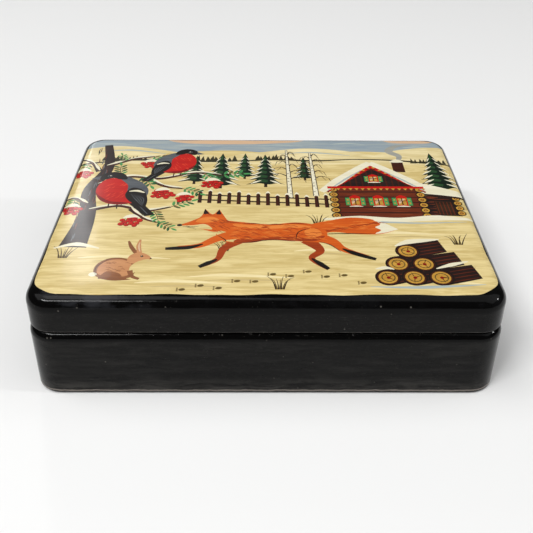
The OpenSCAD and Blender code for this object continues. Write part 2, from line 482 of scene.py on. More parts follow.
def curve(points, closed=True, step=0.8):
    """A smooth line through the points, except that it turns sharply at those marked K."""
    count = len(points)
    if closed:
        order = [(i - 1, i, i + 1, i + 2) for i in range(count)]
    else:
        order = [(max(i - 1, 0), i, i + 1, min(i + 2, count - 1)) for i in range(count - 1)]
    line = []
    for a, b, c, d in order:
        p1, p2 = points[b], points[c % count]
        p0 = p1 if len(p1) > 2 else points[a]
        p3 = p2 if len(p2) > 2 else points[d % count]
        pieces = max(1, math.ceil(math.dist(p1[:2], p2[:2]) / step))
        if len(p1) > 2 and len(p2) > 2:
            pieces = 1
        for i in range(pieces):
            t = i / pieces
            line.append(tuple(
                0.5 * (2 * p1[k] + (p2[k] - p0[k]) * t
                       + (2 * p0[k] - 5 * p1[k] + 4 * p2[k] - p3[k]) * t * t
                       + (3 * p1[k] - p0[k] - 3 * p2[k] + p3[k]) * t ** 3) for k in (0, 1)))
    if not closed:
        line.append(tuple(points[-1][:2]))
    return line


def stroke(points, widths, step=1.0):
    """The outline of a brush stroke through the points. Its width runs through the given ones."""
    line = curve(points, closed=False, step=step)
    last = len(line) - 1
    left, right = [], []
    for i, (x, y) in enumerate(line):
        before, after = line[max(i - 1, 0)], line[min(i + 1, last)]
        along = Vector((after[0] - before[0], after[1] - before[1])).normalized()
        place = i / last * (len(widths) - 1)
        k = min(int(place), len(widths) - 2)
        half = (widths[k] + (widths[k + 1] - widths[k]) * (place - k)) / 2
        left.append((x - along.y * half, y + along.x * half))
        right.append((x + along.y * half, y - along.x * half))
    return left + right[::-1]


def oval(x, y, rx, ry, turn, count):
    c, s = math.cos(math.radians(turn)), math.sin(math.radians(turn))
    ring = [(rx * math.cos(TURN * i / count), ry * math.sin(TURN * i / count)) for i in range(count)]
    return [(x + a * c - b * s, y + a * s + b * c) for a, b in ring]


class Sketch:
    """Painted shapes in the order in which they are laid, each a paint's name and an outline."""

    def __init__(self):
        self.shapes = []
        self.frames = []
        self.draw = random.Random(PICTURE_SEED)

    def at(self, x, y, size=1.0, turn=0.0, flip=False):
        """Shapes drawn inside a `with` of this are scaled, mirrored, turned and moved."""
        self.frames.append((x, y, size, math.radians(turn), flip))
        return self

    def __enter__(self):
        return self

    def __exit__(self, *problem):
        self.frames.pop()

    def add(self, paint, outline):
        for x, y, size, turn, flip in reversed(self.frames):
            c, s = math.cos(turn), math.sin(turn)
            sign = -1 if flip else 1
            outline = [(x + size * (sign * a * c - b * s), y + size * (sign * a * s + b * c))
                       for a, b in outline]
        area = sum(a[0] * b[1] - b[0] * a[1] for a, b in zip(outline, outline[1:] + outline[:1]))
        self.shapes.append((paint, outline if area > 0 else outline[::-1]))

    def fill(self, paint, *points, step=0.8):
        self.add(paint, curve(points, step=step))

    def box(self, paint, x0, y0, x1, y1):
        self.fill(paint, (x0, y0, K), (x0, y1, K), (x1, y1, K), (x1, y0, K))

    def line(self, paint, widths, *points, step=1.0):
        self.add(paint, stroke(points, widths, step=step))

    def dot(self, paint, x, y, rx, ry=None, turn=0.0, count=12):
        self.add(paint, oval(x, y, rx, ry or rx, turn, count))

    def hatch(self, count, xs, ys, paint, widths, *points):
        """The same stroke at this many places, drawn at random between the limits."""
        for _ in range(count):
            with self.at(self.draw.uniform(*xs), self.draw.uniform(*ys)):
                self.line(paint, widths, *points)


# The picture: a winter farmyard with a cottage, firs, birches, a fox, a hare, logs and birds in a rowan tree
GROUND_LEFT, GROUND_RIGHT, GROUND_FRONT, GROUND_BACK = -72.3, 72.4, -51.3, 51.0
GROUND_BACK_R, GROUND_FRONT_R = 7.6, 9.4
GROUND_WOBBLE = 0.16
GROUND_STEP = 3.0
PICTURE_SEED = 7
ARC_STEPS = 10


def ground_outline(depth=0.0):
    """The hand-painted border, a rounded rectangle that wavers a little, or a line this far inside it."""
    cx, cy = (GROUND_LEFT + GROUND_RIGHT) / 2, (GROUND_FRONT + GROUND_BACK) / 2
    hx, hy = (GROUND_RIGHT - GROUND_LEFT) / 2, (GROUND_BACK - GROUND_FRONT) / 2
    back, front = GROUND_BACK_R, GROUND_FRONT_R
    corners = ((hx - back, hy - back, back, 0), (back - hx, hy - back, back, 90),
               (front - hx, front - hy, front, 180), (hx - front, front - hy, front, 270))
    ring = []
    for i, (x, y, r, start) in enumerate(corners):
        ring += [(x, y, r, math.radians(start + 90 * k / ARC_STEPS)) for k in range(ARC_STEPS + 1)]
        nx, ny, nr, _ = corners[(i + 1) % 4]
        count = int(math.dist((x, y), (nx, ny)) / GROUND_STEP)
        for k in range(1, count):
            t = k / count
            ring.append((x + (nx - x) * t, y + (ny - y) * t, r + (nr - r) * t, math.radians(start + 90)))
    outline = []
    for i, (x, y, r, a) in enumerate(ring):
        waver = GROUND_WOBBLE * (math.sin(i * 0.55) + 0.6 * math.sin(i * 1.27 + 1.0))
        reach = r + waver - depth
        outline.append((cx + x + reach * math.cos(a), cy + y + reach * math.sin(a)))
    return outline


def paint_sky(s):
    s.fill("sky", (-80, 60, K), (-80, 37, K), (-60, 42), (-38, 40), (-14, 41.5), (12, 38.5), (40, 41),
           (80, 36, K), (80, 60, K), step=2)
    s.fill("dawn", (-46, 60, K), (-38, 49.5), (-18, 47.2), (4, 48.2), (16, 51), (22, 60, K), step=2)
    s.fill("dawn", (44, 60, K), (50, 50), (60, 48.5), (70, 50), (76, 60, K), step=2)
    for x, y, half in ((-62, 47, 7), (-30, 45.3, 8), (6, 45.8, 9), (34, 47.5, 7.5), (62, 44.5, 6)):
        s.line("sky_light", (0.2, 1.3, 0.9, 0.2), (x - half, y), (x, y + 0.8), (x + half, y - 0.2))


def paint_hills(s):
    s.fill("snow_far", (-80, 30, K), (-80, 40), (-70, 43.5), (-58, 45.2), (-44, 42.5), (-30, 38.5), (-16, 36),
           (0, 30, K), step=2)
    s.fill("snow_far", (-24, 30, K), (-12, 37.5), (2, 41), (16, 43.6), (30, 42), (44, 37.5), (60, 30, K),
           step=2)
    s.fill("snow_far", (34, 30, K), (46, 39), (58, 43.5), (70, 44.8), (82, 42), (82, 30, K), step=2)
    s.line("sky_light", (0.2, 1.2, 0.2), (-66, 40.5), (-54, 41.6), (-40, 38.6))
    s.line("sky_light", (0.2, 1, 0.2), (6, 38.6), (18, 40), (34, 37.4))
    s.line("far_wood", (1.4, 0.9, 1.6, 0.8, 1.3, 0.7, 1.2, 0.9), (-80, 27.5), (-66, 31), (-52, 33.2),
           (-38, 33.6), (-24, 32.2), (-10, 32.6), (4, 33.8), (20, 33), (36, 34.2), (52, 33.4), (66, 31),
           (80, 29.5))


def paint_far_trees(s):
    """Clumps of small far trees along the skyline, and a hayrick."""
    for start, end, base in ((-64, -46, 33), (-31, -12, 33), (-3, 12, 34), (58, 71, 31.5)):
        x = start
        while x < end:
            tall = s.draw.uniform(2.2, 4.8)
            half = s.draw.uniform(0.7, 1.2)
            lean = s.draw.uniform(-0.3, 0.3)
            with s.at(x, base):
                s.fill("far_wood", (-half, -0.4, K), (-half * 0.5, tall * 0.5), (lean, tall, K),
                       (half * 0.5, tall * 0.5), (half, -0.4, K))
            x += s.draw.uniform(1.1, 2.1)
    s.fill("olive", (-42, 33.2, K), (-41, 37), (-38.4, 39, K), (-35.6, 37), (-34.6, 33.2, K))
    s.line("gold", (0.2, 0.5, 0.2), (-40.4, 34.2), (-39.8, 36.4), (-38.8, 37.8))
    s.line("gold", (0.2, 0.5, 0.2), (-37, 34), (-37.2, 36), (-37.8, 37.6))
    s.fill("snow", (-40.6, 37.2), (-38.4, 39.6), (-36.2, 37.3), (-38.4, 38))


def paint_fir(s, x, base, tall):
    """A fir of drooping tiers, dark below and green above, with snow on the boughs."""
    s.line("bark", (tall * 0.05, tall * 0.04), (x, base - tall * 0.03), (x, base + tall * 0.2))
    droop = tall * 0.035
    tiers = max(4, round(tall / 4.2))
    for i in range(tiers):
        low = base + tall * (0.08 + 0.8 * i / tiers)
        high = min(tall * 0.34, base + tall - low)
        w = tall * 0.3 * (1 - 0.82 * i / tiers)
        with s.at(x, low):
            s.fill("fir_dark", (-w, -droop, K), (-w * 0.62, droop * 1.5), (0, high, K),
                   (w * 0.62, droop * 1.5), (w, -droop, K), (w * 0.55, droop * 0.1), (w * 0.18, -droop * 0.9),
                   (-w * 0.3, droop * 0.1), (-w * 0.66, -droop * 0.5))
            s.fill("fir", (-w * 0.74, droop * 0.3, K), (-w * 0.45, droop * 2), (0, high - droop, K),
                   (w * 0.1, droop * 1.6), (-w * 0.28, droop * 1.2))
            for side in (-1, 1):
                reach = side * w * s.draw.uniform(0.72, 0.95)
                s.line("snow_bright", (0.15, 0.11 * w + 0.25, 0.15), (reach * 0.3, droop * 2.6),
                       (reach * 0.66, droop * 1.3), (reach, -droop * 0.3), step=0.7)


def paint_birch(s, x, base, tall):
    lean = s.draw.uniform(-1.2, 1.2)
    trunk = [(0, 0), (lean * 0.3, tall * 0.4), (lean, tall)]
    twigs = 9
    with s.at(x, base):
        for i in range(twigs):
            x, y = lean * 0.6, tall * (0.36 + 0.6 * i / twigs)
            side = -1 if i % 2 else 1
            reach = side * s.draw.uniform(4, 6.5) * (1.12 - 0.7 * i / twigs)
            tip = (lean + reach, y + s.draw.uniform(0.5, 2.5))
            s.line("bark", (0.7, 0.42, 0.16), (x, y), (x + reach * 0.5, y + 2.4), tip)
            s.line("bark", (0.3, 0.12), tip, (tip[0] + side * 0.9, tip[1] - s.draw.uniform(2.5, 4)))
            x, y = x + reach * 0.55, y + 2.3
            s.line("bark", (0.3, 0.12), (x, y), (x + side * 1.5, y - s.draw.uniform(2, 3.4)))
        s.line("bark", (2.3, 1.8, 0.8), *trunk)
        s.line("snow_bright", (1.7, 1.2, 0.4), *trunk)
        for i in range(int(tall / 2.2)):
            y = 1 + i * 2.2 + s.draw.uniform(-0.5, 0.5)
            side = s.draw.choice((-0.45, 0.35))
            s.line("line_black", (0.5, 0.1), (side * 1.5, y), (side * -0.2, y + 0.25))


def paint_fence(s, x0, x1, base, rise):
    """Sharpened stakes on two rails, each stake with a cap of snow."""
    for y in (base + 2.2, base + 5.6):
        s.line("bark", (0.9, 0.8), (x0 - 1, y), (x1 + 1, y + rise))
    count = int((x1 - x0) / 3.3)
    for i in range(count + 1):
        t = i / count
        tall = 8.4 + 0.9 * math.sin(i * 2.1)
        with s.at(x0 + (x1 - x0) * t, base + rise * t):
            s.fill("chestnut_dark", (-0.75, 0, K), (-0.7, tall - 1.2, K), (0, tall, K), (0.7, tall - 1.2, K),
                   (0.75, 0, K))
            s.line("line_black", (0.25, 0.25), (0.42, 0.3), (0.4, tall - 1.4))
            s.fill("snow_bright", (-0.95, tall - 1.1), (0, tall + 0.75), (0.95, tall - 1.1), (0, tall - 0.5),
                   step=0.5)


def paint_window(s, x, y, w, h):
    with s.at(x, y):
        s.box("green_dark", -w * 1.05, -h / 2, w * 1.05, h / 2)
        for side in (-1, 1):
            inner, outer = side * w * 0.56, side * w
            s.box("green", inner, -h * 0.46, outer, h * 0.46)
            s.dot("gold", (inner + outer) / 2, h * 0.2, 0.36, 0.5)
            s.dot("gold", (inner + outer) / 2, -h * 0.2, 0.36, 0.5)
        s.fill("red", (-w * 0.56, -h * 0.56, K), (-w * 0.56, h * 0.56, K), (0, h * 0.82),
               (w * 0.56, h * 0.56, K), (w * 0.56, -h * 0.56, K))
        s.box("gold", -w * 0.42, -h * 0.4, w * 0.42, h * 0.4)
        s.fill("dawn", (-w * 0.36, -h * 0.34, K), (-w * 0.36, h * 0.1, K), (w * 0.1, h * 0.34, K),
               (w * 0.36, h * 0.34, K))
        s.line("chestnut_dark", (0.4, 0.4), (0, -h * 0.42), (0, h * 0.42))
        s.line("chestnut_dark", (0.4, 0.4), (-w * 0.42, h * 0.08), (w * 0.42, h * 0.08))
        s.line("snow_bright", (0.3, 0.8, 0.3), (-w * 0.7, -h * 0.6), (0, -h * 0.56), (w * 0.7, -h * 0.6))


def paint_logs(s, x0, x1, y0, y1, courses, log, gap):
    """A wall of logs with brush grain and round ends at its corners."""
    s.box(log, x0, y0, x1, y1)
    high = (y1 - y0) / courses
    for i in range(courses):
        y = y0 + high * (i + 0.5)
        foot = y - high / 2
        s.line(gap, (0.5, 0.65, 0.5), (x0, foot), ((x0 + x1) / 2, foot + 0.15), (x1, foot))
        for _ in range(5):
            x = s.draw.uniform(x0 + 2, x1 - 8)
            grain = y + s.draw.uniform(-0.3, 0.34) * high
            s.line("chestnut_light", (0.08, 0.3, 0.08), (x, grain), (x + s.draw.uniform(3, 7), grain + 0.1))
        for end in (x0, x1):
            s.dot("line_black", end, y, high * 0.52)
            s.dot("gold", end, y, high * 0.4)
            s.dot("chestnut", end, y, high * 0.2)
            s.dot("gold", end, y, high * 0.1, count=8)


def paint_lean_to(s):
    """A smoking chimney, and a lean-to with a door at the side of the cottage."""
    s.line("smoke", (1.2, 2.6, 3.4, 2, 0.4), (52, 32), (53.5, 37), (50, 41), (53, 45.5), (60, 47.5))
    s.box("chestnut_dark", 49.6, 24, 54.2, 32.4)
    s.fill("snow_bright", (49, 32.2), (51.9, 34.4), (54.8, 32.2), (51.9, 31.7))
    paint_logs(s, 56, 69.5, -7, 6.4, 4, "brown_black", "line_black")
    s.box("bark", 61, -7, 67.4, 2.6)
    for i in range(5):
        x = 61.7 + i * 1.3
        s.line("chestnut", (0.3, 0.3), (x, -6.6), (x, 2.2))
    s.fill("brown_black", (53, 15.6, K), (53, 7.4, K), (72.5, 4.4, K), (72.5, 7, K))
    s.fill("snow_bright", (52, 18, K), (53, 8.6, K), (63, 7.2), (73, 5.4, K), (73.4, 8.4), (64, 13.2))


def paint_gable(s):
    """A boarded gable under a roof edge with carved boards and snow."""
    s.fill("brown_black", (24, 12, K), (41, 29.6, K), (58, 12, K))
    for i in range(13):
        x = 27.4 + i * 2.27
        s.line("chestnut_dark", (0.5, 0.5), (x, 12.6), (x, 29 - abs(x - 41)))
    for side in (-1, 1):
        s.line("red", (2.6, 2.4), (41 + side * 19, 9.6), (41, 28.6))
        for i in range(9):
            t = (i + 0.5) / 9
            x, y = 41 + side * 19 * (1 - t), 9.6 + 19 * t
            s.dot("gold", x, y, 0.62)
            s.fill("red_dark", (x - 1, y - 0.9, K), (x + 1, y - 0.9, K), (x, y - 2.3, K))
        s.line("snow_bright", (2.4, 4.4, 3.4, 3), (41 + side * 20.4, 9.2), (41 + side * 13, 17.6),
               (41 + side * 5, 26.6), (41, 31.2))
        s.line("sky_light", (0.3, 1, 0.3), (41 + side * 18, 9.9), (41 + side * 11, 18), (41 + side * 4, 25.4))


def paint_cottage(s):
    """A timber cottage with a gable towards the viewer, shutters, a lean-to and smoke."""
    paint_lean_to(s)
    paint_logs(s, 25, 57, -9, 12.4, 6, "chestnut", "brown_black")
    paint_gable(s)
    s.line("red", (1.6, 1.6), (23, 12.2), (59, 12.2))
    for i in range(16):
        x = 24 + i * 2.27
        s.fill("gold", (x, 11.6, K), (x + 1.5, 11.6, K), (x + 0.75, 10.2, K))
    paint_window(s, 41, 18.6, 3.4, 4.4)
    for x in (32.5, 41, 49.5):
        paint_window(s, x, 2.2, 3.5, 5.6)
    s.line("snow_bright", (0.8, 3.2, 2.6, 3.4, 0.6), (20, -9.6), (32, -9), (46, -10), (60, -8.6), (74, -9.4))
    s.line("sky_light", (0.2, 1, 0.8, 0.2), (22, -11.6), (38, -11.4), (54, -12), (70, -11))


def paint_fox_far_side(s):
    """The fox's two far legs and its tail."""
    for leg in (((-9, -2), (-15, -8), (-17, -14), (-22.5, -18)),
                ((12, -3), (16, -9), (13, -13.4), (18, -19))):
        s.line("orange_dark", (5.2, 3, 2, 1.5), *leg)
        ankle = ((leg[2][0] + leg[3][0]) / 2, (leg[2][1] + leg[3][1]) / 2)
        s.line("line_black", (0.6, 2, 1.4), leg[2], ankle, leg[3])
    s.fill("orange", (12, 5), (20, 8.6), (28, 10.6), (36, 9), (43, 3.4, K), (37, 0.6), (29, 0.4), (21, 1.6),
           (14, 0))
    s.fill("snow_bright", (35.2, 9.2), (38.6, 7.4), (43, 3.4, K), (38.6, 1.4), (35, 0.8), (37.2, 2.8),
           (35.4, 4.6), (37.4, 6.4))
    for i in range(17):
        x = 15 + i * 1.22
        y = 1.4 + 0.35 * i + s.draw.uniform(-0.6, 0.6)
        s.line("orange_dark", (0.12, 0.45, 0.1), (x, y - 0.6), (x + 3, y + s.draw.uniform(0.4, 1.2)),
               (x + 5.4, y + 0.4))
    s.line("line_black", (0.1, 0.5, 0.1), (14, 0.2), (24, 0.7), (35, 0.6))


def paint_fox_body(s):
    """The fox's body and its two near legs."""
    s.line("orange", (8.5, 4.4, 2.6, 1.8), (11, 0), (19.5, -3.4), (23.6, -8.4), (31, -12.6))
    s.line("line_black", (0.5, 2, 1.9, 1.4), (23.2, -8), (26, -10), (29, -11.7), (33.4, -13.8))
    s.fill("orange", (-17, 8), (-10, 7.6), (0, 6.2), (9, 7.4), (16, 5.4), (19, 0.6), (16, -4), (9, -3.8),
           (0, -3), (-7, -4.8), (-14, -4.6), (-18, 0))
    s.fill("snow", (-19, 2.6), (-17.4, -0.4), (-14.6, -3.8), (-9, -4.2), (-11.4, -1.4), (-15, 1.6))
    s.line("orange", (6.4, 3.6, 2.4, 1.7), (-10, 0.4), (-17, -2), (-23, -6.4), (-30, -7.6))
    s.line("line_black", (0.5, 1.9, 1.9, 1.4), (-22, -5.6), (-26, -7.4), (-30, -7.9), (-34, -8.2))


def paint_fox_head(s):
    s.fill("orange", (-31, 5.4, K), (-26.5, 8.4), (-23.6, 11.2), (-22.6, 16, K), (-19.8, 12.4),
           (-17.6, 15.6, K), (-15.4, 10.4), (-13.6, 5.4), (-18, 1.6), (-23, 3.2), (-27, 4.4))
    s.fill("brown_black", (-22.6, 16, K), (-22.9, 12.6), (-21, 13, K))
    s.fill("brown_black", (-17.6, 15.6, K), (-18.6, 12.6), (-16.7, 12.4, K))
    s.fill("snow", (-30.6, 5.2, K), (-26, 5.6), (-22, 6.2), (-19.4, 3.2), (-22.6, 3.3), (-27, 4.3))
    s.dot("line_black", -30.6, 5.6, 0.95, 0.75)
    s.fill("line_black", (-25.6, 8.2, K), (-24.4, 9.2), (-22.8, 8.8, K), (-24.2, 8))
    s.dot("snow_bright", -24.3, 8.7, 0.24, count=8)
    s.line("line_black", (0.1, 0.4, 0.1), (-29.6, 4.7), (-26.6, 4.5), (-24, 4.9))
    s.line("brown_black", (0.1, 0.36, 0.1), (-22.4, 15), (-21.4, 12.8), (-20.2, 11.8))
    for y in (4.6, 5.2):
        s.line("line_black", (0.16, 0.08), (-28.4, y), (-24.8, y - 1.6))


def paint_fox_fur(s):
    """Light and shade on the fox's back, belly and cheek, then hairs and outlines."""
    for x, y in ((-14, 7.7), (-6, 6.9), (2, 6.4), (9, 7.1)):
        s.line("chestnut", (0.1, 0.5, 0.1), (x - 3.4, y - 0.5), (x, y - 0.1), (x + 3.6, y - 0.7))
    s.fill("orange_dark", (-12, -4.3), (-6, -4.7), (0, -3), (8, -3.7), (15, -3.6), (18, -0.6), (12, -1.8),
           (4, -1.2), (-4, -2.4), (-10, -2.4))
    s.fill("orange_light", (-12, 6.6), (-2, 5.2), (8, 6.3), (14, 4.8), (8, 4.2), (-2, 3.4), (-11, 4.6))
    s.fill("orange_light", (11.6, 2.6), (15.4, 3.6), (17.2, 0.4), (14.6, -1.6), (12, -0.6))
    s.fill("orange_light", (-25.4, 8), (-23, 10.4), (-19.6, 10.8), (-17.4, 8.6), (-20.4, 7.4), (-23.6, 7))
    for _ in range(110):
        x, y = s.draw.uniform(-14, 16), s.draw.uniform(-2.8, 5.8)
        paint = "orange_dark" if s.draw.random() < 0.55 else "orange_light"
        s.line(paint, (0.1, 0.34, 0.08), (x, y), (x + 1.4, y + 0.3), (x + 2.8, y - s.draw.uniform(0, 0.8)))
    s.hatch(26, (-21, -15), (2.4, 9.4), "orange_dark", (0.08, 0.3, 0.08), (0, 0), (1, -0.5), (1.9, -1.4))
    s.hatch(24, (16, 34), (3, 8.4), "orange_light", (0.08, 0.36, 0.08), (0, 0), (1.8, 0.4), (3.4, 0.2))
    for points in (((-14, -4.6), (-8, -4.6), (0, -3.1), (8, -3.9)), ((16, -4), (19.6, -6), (22.6, -9.8)),
                   ((-17.4, -0.6), (-14.6, -3.6), (-16.6, -4.6)), ((8.4, -2.4), (9.4, 1.6), (13.4, 4))):
        s.line("line_black", (0.12, 0.42, 0.12), *points)


def paint_fox(s):
    """A running fox, drawn facing left."""
    paint_fox_far_side(s)
    paint_fox_body(s)
    paint_fox_head(s)
    paint_fox_fur(s)


def paint_leaf(s, x, y, turn, size):
    """A rowan leaf: paired leaflets along a stalk."""
    with s.at(x, y, size, turn):
        s.line("chestnut_dark", (0.4, 0.25), (0, 0), (5, 0.5), (10, 0))
        for i in range(4):
            for side in (-1, 1):
                a, b = 1.8 + i * 2.1, side * 1.7
                paint = s.draw.choice(("green", "green", "green_dark", "olive"))
                s.dot(paint, a + 0.5, b + 0.3, 1.75, 0.68, turn=side * 58, count=10)
                rib = "green_dark" if paint == "green" else "green"
                s.line(rib, (0.08, 0.22, 0.08), (a, b * 0.3), (a + 0.9, b * 1.5))
        s.dot("green", 11.2, 0, 1.7, 0.7, count=10)


def paint_berries(s, x, y, count):
    """A hanging bunch of rowan berries under a cap of snow."""
    spots = []
    for i in range(count):
        turn, reach = i * 2.4, 0.98 * math.sqrt(i)
        spots.append((x + reach * math.cos(turn) * 1.12, y + reach * math.sin(turn) * 0.85))
    for bx, by in sorted(spots, key=lambda p: -p[1]):
        s.line("bark", (0.25, 0.2), (x, y + 4.2), (bx, by))
    for bx, by in spots:
        r = s.draw.uniform(0.95, 1.2)
        s.dot("red_dark", bx + 0.12, by - 0.14, r, count=11)
        s.dot("red", bx, by, r * 0.84, count=11)
        s.dot("red_light", bx - 0.28, by + 0.34, 0.24, count=6)
        s.dot("line_black", bx + 0.1, by - 0.52, 0.18, count=6)
    top = y + 0.98 * math.sqrt(count) * 0.8
    s.fill("snow_bright", (x - 3, top - 0.7), (x - 1.6, top + 1.3), (x + 0.8, top + 1.7), (x + 3, top - 0.5),
           (x + 1.2, top - 0.1), (x - 1, top - 0.5))


def paint_bullfinch(s, x, y, size, flip):
    """A bullfinch, drawn facing right."""
    with s.at(x, y, size, 0, flip):
        s.fill("line_black", (-6.5, -4, K), (-13.6, -14.4, K), (-10.2, -15.4, K), (-3, -6.4, K))
        s.line("slate", (0.3, 0.3), (-6.4, -7), (-11, -14))
        s.line("bark", (0.55, 0.45), (0.5, -6.8), (0.2, -10.6))
        s.line("bark", (0.55, 0.45), (3.4, -6.2), (3.4, -10.2))
        s.fill("red", (-5.5, -6), (-7, 1), (-4, 7), (1, 10.4), (6.4, 10.4), (9.2, 6), (9.4, 0.4), (6.6, -5.2),
               (1, -7.8))
        s.fill("red_dark", (-3.6, -6.9), (1, -7.8), (6.6, -5.2), (9.4, 0.4), (7.4, -2.2), (3.4, -5.4),
               (-0.4, -6))
        s.hatch(20, (-1.5, 6.4), (-4, 6.6), "red_light", (0.1, 0.42, 0.1), (0, 1), (0.5, 0), (1.4, -0.9))
        s.fill("slate", (-8.6, -3.4), (-9.4, 2.2), (-6.6, 7.4), (-1, 11.6), (1.8, 10.4), (-1.4, 5.8),
               (-2, 0.4), (-4.4, -4.8))
        s.fill("line_black", (-3.4, 3.8), (-1.4, -0.6), (-3.4, -5.4), (-9.6, -10.6, K), (-9.8, -4.2),
               (-7.6, 2))
        s.line("snow_bright", (0.5, 1.4, 0.5), (-8.2, 0.4), (-5.4, 1.7), (-2.6, 1.3))
        for i in range(4):
            s.line("slate", (0.1, 0.36, 0.1), (-3.6 - i, -0.6 - i * 0.4), (-5.4 - i, -4),
                   (-8.6, -8.8 + i * 0.6))
        s.fill("line_black", (-0.6, 10.2), (0.8, 13.8), (4.6, 15.6), (8.6, 14.2), (10, 11.2), (8.2, 9.6),
               (4.6, 11), (2.2, 10))
        s.fill("slate", (9.4, 12.6, K), (12.8, 10.6, K), (9.6, 9.8, K))
        s.dot("slate", 6.2, 12.4, 0.9)
        s.dot("line_black", 6.2, 12.4, 0.62)
        s.dot("snow_bright", 6, 12.7, 0.26, count=8)


def paint_rowan_trunk(s):
    """The trunk at the left with its bark, and the boughs with snow on them."""
    s.line("brown_black", (9.5, 6.4, 5.2, 4.2, 3.2), (-64, -27), (-63, -8), (-65, 10), (-61, 27), (-64, 46))
    for _ in range(60):
        y = s.draw.uniform(-24, 40)
        x = -63.6 + 1.4 * math.sin(y * 0.12) + s.draw.uniform(-2.2, 2)
        paint = s.draw.choice(("chestnut_dark", "chestnut", "line_black", "slate"))
        s.line(paint, (0.1, 0.45, 0.1), (x, y), (x + s.draw.uniform(-0.4, 0.4), y + 2),
               (x, y + s.draw.uniform(3, 5)))
    for bough in (((-63, 14), (-52, 20), (-40, 18.5), (-27, 23), (-17, 21)),
                  ((-63, -4), (-53, -1), (-43, -4.4), (-34, -2)), ((-64, 24), (-68, 31), (-73, 34)),
                  ((-62, 28), (-52, 34), (-44, 36)), ((-64, 0), (-69, 4), (-73, 3)),
                  ((-44, 18.6), (-38, 13), (-31, 11)), ((-48, -3), (-43, -9), (-38, -12))):
        s.line("brown_black", (2.9, 2.1, 1.5, 0.7), *bough)
        s.line("chestnut", (0.1, 0.4, 0.1), *[(x, y - 0.35) for x, y in bough])
        s.line("snow_bright", (0.3, 1.3, 0.4, 1.1, 0.2), *[(x, y + 0.85) for x, y in bough])
    s.line("snow_bright", (0.4, 2.2, 0.4), (-70, -27.4), (-63, -25.2), (-55, -27.6))


def paint_rowan(s):
    """A rowan tree with leaves and berries on its boughs, and two bullfinches."""
    paint_rowan_trunk(s)
    for leaf in ((-55, 21, 100, 0.8), (-47, 20, -60, 0.85), (-33, 21, 70, 0.8), (-24, 22.4, -50, 0.8),
                 (-17, 21, 8, 0.9), (-34, -2, 30, 0.85), (-40, -4.2, -70, 0.75), (-52, -1, 70, 0.7),
                 (-69, 30, -110, 0.7), (-45, 36, -35, 0.7), (-55, 32, 112, 0.6), (-38, -12, -34, 0.7),
                 (-31, 11, -28, 0.8), (-69, 4, -100, 0.75)):
        paint_leaf(s, *leaf)
    for bunch in ((-52, 12.5, 14), (-38, 7, 15), (-20, 14.5, 13), (-30, 4.4, 9), (-45, 29.5, 11),
                  (-70, 22, 12), (-47, -11.5, 13), (-69, -4, 11)):
        paint_berries(s, *bunch)
    paint_bullfinch(s, -35.5, 29.2, 0.86, False)
    paint_bullfinch(s, -53, 7.6, 1.02, True)


def paint_hare(s):
    """A sitting hare, drawn facing right."""
    s.fill("tan_dark", (-8, -5), (-8.6, 1), (-4.6, 5.4), (1.4, 5.6), (5.4, 2), (6.4, -3), (4.6, -6.4),
           (-2, -7))
    s.fill("tan", (-7, -4), (-7.2, 1), (-3.8, 4.4), (1.2, 4.6), (4.6, 1.6), (5.4, -3), (3, -5.4), (-2, -5.6))
    s.dot("snow_bright", -8.8, -4.4, 1.5, 1.3)
    s.line("tan_dark", (1.7, 1.7, 0.7), (5.4, 8.6), (2.8, 13.2), (1.4, 17))
    s.line("tan", (1.9, 1.9, 0.7), (6.6, 8.8), (5.6, 13.6), (5.8, 18))
    s.line("dawn", (0.4, 0.7, 0.3), (6.5, 10), (5.7, 13.4), (5.8, 16))
    s.fill("tan", (2.8, 3), (3, 7), (6, 9.4), (9.6, 8), (11.4, 5.4), (9.4, 3.8), (6.6, 2.4))
    s.fill("snow", (6, 3), (8.4, 4.6), (10.8, 5), (9.4, 3.6), (7, 2), (6.8, -2), (4.6, -4.6), (4.2, 0))
    s.dot("line_black", 7.7, 6.9, 0.55)
    s.dot("snow_bright", 7.55, 7.1, 0.18, count=7)
    s.dot("line_black", 11.2, 5.5, 0.4, count=8)
    s.line("tan_dark", (2.2, 1.6, 1.2), (4.4, -2), (5.6, -5.4), (8.4, -7))
    s.fill("tan_dark", (-6.6, -6.6, K), (-4, -2.6), (0.6, -3.6), (2.4, -6), (5.6, -7.4, K), (-1, -8))
    s.hatch(16, (-6, 2), (-3.4, 3), "tan_dark", (0.1, 0.32, 0.1), (0, 0), (1, 0.3), (2, -0.3))
    s.line("line_black", (0.1, 0.3, 0.1), (-7.6, -5.4), (-8.2, 0), (-4.6, 4.9))


